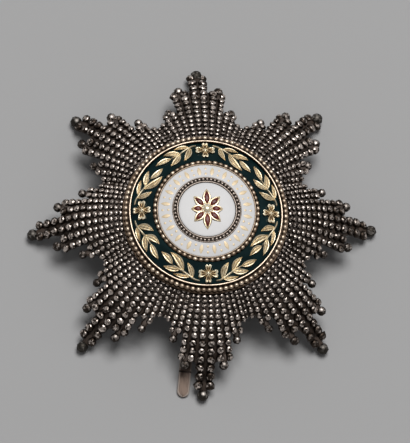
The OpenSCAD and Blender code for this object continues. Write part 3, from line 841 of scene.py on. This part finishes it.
def makeRosette(finishes):
    turn = 360 / rosette["petals"] * np.arange(rosette["petals"])
    upright, flat, foot = rosette["upright"], rosette["flat"], rosette["foot"]
    reach = np.select([turn % 180 == 90, turn % 180 == 0], [upright, flat], (upright + flat) / 2)
    gold = leafStrips((foot, turn), (reach, turn), rosette["width"], 0, rosette["goldRise"])
    (girth, rise, deep), top = rosette["boss"], medallion["faceTop"]
    bend = np.linspace(0, np.pi / 2, 9)
    dome = np.stack([girth * np.cos(bend), top + rise * np.sin(bend)], -1)
    boss = np.concatenate([[(0.0, top - deep), (girth, top - deep)], dome])
    makePiece("rosette_setting", [gold, spun(boss, 32)], finishes["gold"], ["rosette_gold"])
    inset = rosette["border"]
    petals = leafStrips((foot + inset, turn), (reach - rosette["endBorder"], turn),
                        rosette["width"] - 2 * inset, 0, rosette["enamelRise"], "enamelRise", 0.0)
    makePiece("rosette_petals", [petals], finishes["red_enamel"], ["rosette_enamel"])
    print("rosette petals", len(turn))


gilding = {
    "count": 20, "rise": 0.05,
    # turn in steps, inner and outer radius, width: a tall lozenge, then two dots beside it
    "strokes": ((0.0, 9.25, 11.85, 1.0), (0.5, 9.4, 10.15, 0.62), (0.5, 10.85, 11.6, 0.62)),
}


def makeGilding(finish):
    count, (share, inner, outer, width) = gilding["count"], np.array(gilding["strokes"]).T
    turn = ((np.arange(count) + 0.5 + share[:, None]) * 360 / count).ravel()
    feet, tips = ((np.repeat(radius, count), turn) for radius in (inner, outer))
    strips = leafStrips(feet, tips, np.repeat(width, count), 0, gilding["rise"], "enamelRise")
    makePiece("gilding", [strips], finish, [])
    print("gilding", len(turn))


pin = {
    "hinge": (1.13, 18.5, 9.0), "turn": 6.16, "reach": 62.9, "width": 3.1, "thick": 0.8,
    "bevel": 0.22, "chamfer": 0.12, "crown": 0.03, "edge": 2.6,  # breadth of the bright edge, in bevels
    "neckWidth": 1.9, "shoulderReach": 1.2, "start": 0.8,
    # first and last station of each length, and their number
    "neck": (0.9, 2.5, 3), "shoulders": (3.1, 3.7, 4), "straight": (6, 54, 10),
    "knuckle": (1.5, 2.2, 0.1, 0.65),  # radius, width, rounding, bore
    "seam": (56.4, 0.35, 0.4),  # painted shadow line across the blade: place, half width, share of that without fading
}


# Pin: its half width follows neck, shoulders and round end, and its section has bevelled edges
def makePin(finish):
    half, end, flat, neckHalf = pin["width"] / 2, pin["reach"], pin["thick"] / 2, pin["neckWidth"] / 2
    seam, lineHalf, core = pin["seam"]
    crossing = seam + lineHalf * np.array([-1, -core, core, 1])
    tip = end - half + half * np.sin(np.radians(np.linspace(6, 90, 15)))
    lengths = [np.linspace(*pin[name]) for name in ("neck", "shoulders", "straight")]
    along = np.concatenate([[pin["start"]] * 2, *lengths, crossing, [end - half], tip])
    shoulder = ramp(along, pin["neck"][1], pin["shoulderReach"])
    past = ramp(along, end - half, half)
    halfWidth = (neckHalf + (half - neckHalf) * shoulder**2 * (3 - 2 * shoulder)) * np.sqrt(1 - past**2)
    halfWidth[0] = 0
    bevel = np.minimum(pin["bevel"] * (1 + past), halfWidth * 0.5)
    inner, ridge, low = halfWidth - bevel, halfWidth - pin["edge"] * bevel, flat - pin["chamfer"]
    x = np.stack([-halfWidth, -inner, -ridge, 0 * bevel, ridge, inner, halfWidth,
                  halfWidth, inner, -inner, -halfWidth], -1)
    levels = [low, flat, flat, flat + pin["crown"], flat, flat, low, -low, -flat, -flat, -low]
    z = levels * ((halfWidth > 1e-6) & (past < 0.999))[:, None]
    # brightness across the section: painted highlight on the bevelled edges, together with wear
    rim = [1.0, 1.0, 0.5, 0.4, 0.5, 1.0, 1.0, 0.3, 0.4, 0.4, 0.3]
    away = ramp(np.abs(along - seam) / lineHalf, core, 1 - core)
    blade = gridPart(np.stack([x, 0 * x - along[:, None], z], -1), rim, away[:, None])
    outer, width, curve, bore = pin["knuckle"]
    inset, edge = outer - curve, 0.91
    ring = [(bore, -1), (inset, -1), (outer, -edge), (outer, edge), (inset, 1), (bore, 1)]
    barrel = spun(np.array(ring) * (1, width / 2), 48, 0.5)
    barrel["points"] = barrel["points"][..., [2, 0, 1]]
    drop = math.asin((pin["hinge"][2] - flat) / end)
    placed = Matrix.Rotation(math.radians(-pin["turn"]), 4, "Z") @ Matrix.Rotation(drop, 4, "X")
    placed = Matrix.Translation(pin["hinge"]) @ placed
    for part in (blade, barrel):
        part["points"] = part["points"] @ np.array(placed.to_3x3()).T + np.array(placed.translation)
    makePiece("pin", [blade, barrel], finish, ["pin_blade"], body="pin", sharp=30)
    print("pin", len(along), "stations")


# Below, noise is given cells per metre and detail, and step its two limits.
# Silver whose facets are bright or tarnished, from their height and a random share, between two limits:
# polish and tarnish together with painted glints on the crowns and painted shade on the flanks
def cutSilver(name, deep, bright, low=1.0, high=1.4, dull=0.0):
    finish = Finish(name, {"Metallic": 1.0})
    rise, tone, facetGlint = finish.marks("height", "tone", "facetGlint")
    patch = finish.step(finish.noise(55, 3), 0.35, 0.65)
    polishAndHighlight = finish.step(rise + 0.8 * facetGlint + 0.1 * tone, low, high) * (1 - 0.25 * patch)
    colour, grain = finish.blend(polishAndHighlight, deep, bright), finish.noise(2600, 3)
    return finish.paint(colour, 0.45 + dull - 0.1 * polishAndHighlight, (grain, 0.15, 0.05))


def darkShell():
    finish = Finish("tarnishedShell", {"Metallic": 0.3})
    blotch = finish.step(finish.noise(220, 4), 0.4, 0.7)
    colour = finish.blend(blotch, (0.034, 0.022, 0.015), (0.075, 0.051, 0.038))
    return finish.paint(colour, 0.6 - 0.1 * blotch, (finish.noise(900, 3), 0.2, 0.08))


def plainSilver(name, withShadowLine):
    finish = Finish(name, {"Metallic": 0.6})
    rise, tone = finish.marks("height", "tone")
    cloud = finish.step(finish.noise(160, 4), 0.3, 0.7)
    scratches = finish.noise(1500, 3, (1.0, 0.1, 1.0))
    colour = finish.blend(cloud, (0.15, 0.105, 0.08), (0.178, 0.128, 0.1))
    colour = finish.blend(finish.step(scratches, 0.42, 0.62) * 0.5, colour, (0.075, 0.053, 0.042))
    # bevelled edges lighter: painted highlight together with wear
    colour = finish.blend(finish.step(rise, 0.7, 0.95) * 0.5, colour, (0.55, 0.48, 0.43))
    # a painted shadow line across the blade, carried in tone
    if withShadowLine:
        colour = finish.blend(finish.step(tone, 0.0, 1.0), (0.05, 0.035, 0.028), colour)
    return finish.paint(colour, 0.5 + 0.1 * cloud, (scratches, 0.12, 0.04))


def darkSilver():
    finish = Finish("darkSilver", {"Metallic": 1.0})
    rise, tone = finish.marks("height", "tone")
    # bright bead tops: wear together with a painted highlight
    polishAndHighlight = finish.step(rise + 0.2 * tone, 0.4, 1.0)
    colour = finish.blend(polishAndHighlight, (0.045, 0.03, 0.021), (0.38, 0.32, 0.275))
    return finish.paint(colour, 0.5 - 0.15 * polishAndHighlight, (finish.noise(2500, 2), 0.15, 0.04))


# Gold with dark grooves, a plain body and bright crests, told apart by height: patina and polish together
# with painted shade in grooves and along feet and painted highlights on crests
def chasedGold(name, metallic, deep, body, bright, crest):
    finish = Finish(name, {"Metallic": metallic})
    rise, tone = finish.marks("height", "tone")
    cloud = finish.step(finish.noise(240, 3), 0.3, 0.7)
    patina = finish.step(finish.noise(480, 4), 0.5, 0.66)
    clouded = finish.blend(cloud, body, tuple(0.8 * part for part in body))
    colour = finish.blend(finish.step(rise, 0.1, 0.4), deep, clouded)
    colour = finish.blend(patina * 0.35, colour, deep)
    polishAndHighlight = finish.step(rise + 0.4 * tone - 0.3, crest, 1.05) * (1 - 0.45 * patina)
    colour = finish.blend(polishAndHighlight, colour, bright)
    return finish.paint(colour, 0.5 - 0.1 * polishAndHighlight, (finish.noise(3000, 3), 0.2, 0.03))


def giltPaint():
    finish = Finish("giltPaint", {"Metallic": 0.25})
    cloud = finish.step(finish.noise(1500, 3), 0.3, 0.7)
    colour = finish.blend(cloud, (0.7, 0.54, 0.33), (0.74, 0.62, 0.44))
    return finish.paint(colour, 0.4 + 0.1 * cloud)


def enamel(name, deep, light, roughness):
    finish = Finish(name, {"Coat Roughness": 0.06, "Specular IOR Level": 0.2})
    cloud = finish.step(finish.noise(300, 3), 0.3, 0.75)
    colour = finish.blend(cloud, deep, light)
    return finish.paint(colour, roughness + 0.1 + 0.05 * cloud, (finish.noise(420, 2), 0.05, 0.05))


makeFloor()
makeCamera()
makeLights()
print("floor, camera and lights")
finishes = {
    "oxidised_silver": cutSilver("cutSilver", (0.043, 0.032, 0.025), (0.88, 0.77, 0.69)),
    "finger_silver": cutSilver("fingerSilver", (0.042, 0.033, 0.027), (0.74, 0.66, 0.6), 0.8, 1.5, 0.03),
    "end_silver": cutSilver("darkCutSilver", (0.045, 0.04, 0.034), (0.42, 0.385, 0.35), 0.8, 1.4, 0.06),
    "shell": darkShell(),
    "plain_silver": plainSilver("tarnishedSilver", False),
    "pin_silver": plainSilver("pinSilver", True),
    "dark_silver": darkSilver(),
    "gold": chasedGold("chasedGold", 0.8, (0.09, 0.055, 0.03), (0.78, 0.56, 0.28), (1.0, 0.9, 0.67), 0.2),
    "beading": chasedGold("beadingGold", 0.9, (0.08, 0.052, 0.034), (0.26, 0.18, 0.12), (0.8, 0.65, 0.5),
                          0.45),
    "gilt": giltPaint(),
    "green_enamel": enamel("greenEnamel", (0.002, 0.01, 0.011), (0.004, 0.018, 0.02), 0.12),
    "white_enamel": enamel("whiteEnamel", (0.675, 0.665, 0.66), (0.715, 0.705, 0.7), 0.2),
    "red_enamel": enamel("redEnamel", (0.09, 0.014, 0.012), (0.17, 0.03, 0.022), 0.12),
}
print("finishes", len(finishes))
makeRayShell(finishes["shell"])
makeNecks(finishes["shell"])
makeRayBeads(finishes["oxidised_silver"])
makeValleyBeads(finishes["oxidised_silver"])
makeFingerBeads(finishes)
makeSetting(finishes["beading"])
makeEnamels(finishes)
makeBeadRings(finishes)
makeLaurel(finishes["gold"])
makeFlowers(finishes["gold"])
makeRosette(finishes)
makeGilding(finishes["gilt"])
makePin(finishes["pin_silver"])
for node in ("back_plate", "hinge_bracket", "hinge_rod", "catch_hook"):
    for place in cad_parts[node].material_slots:
        place.material = finishes["plain_silver"]
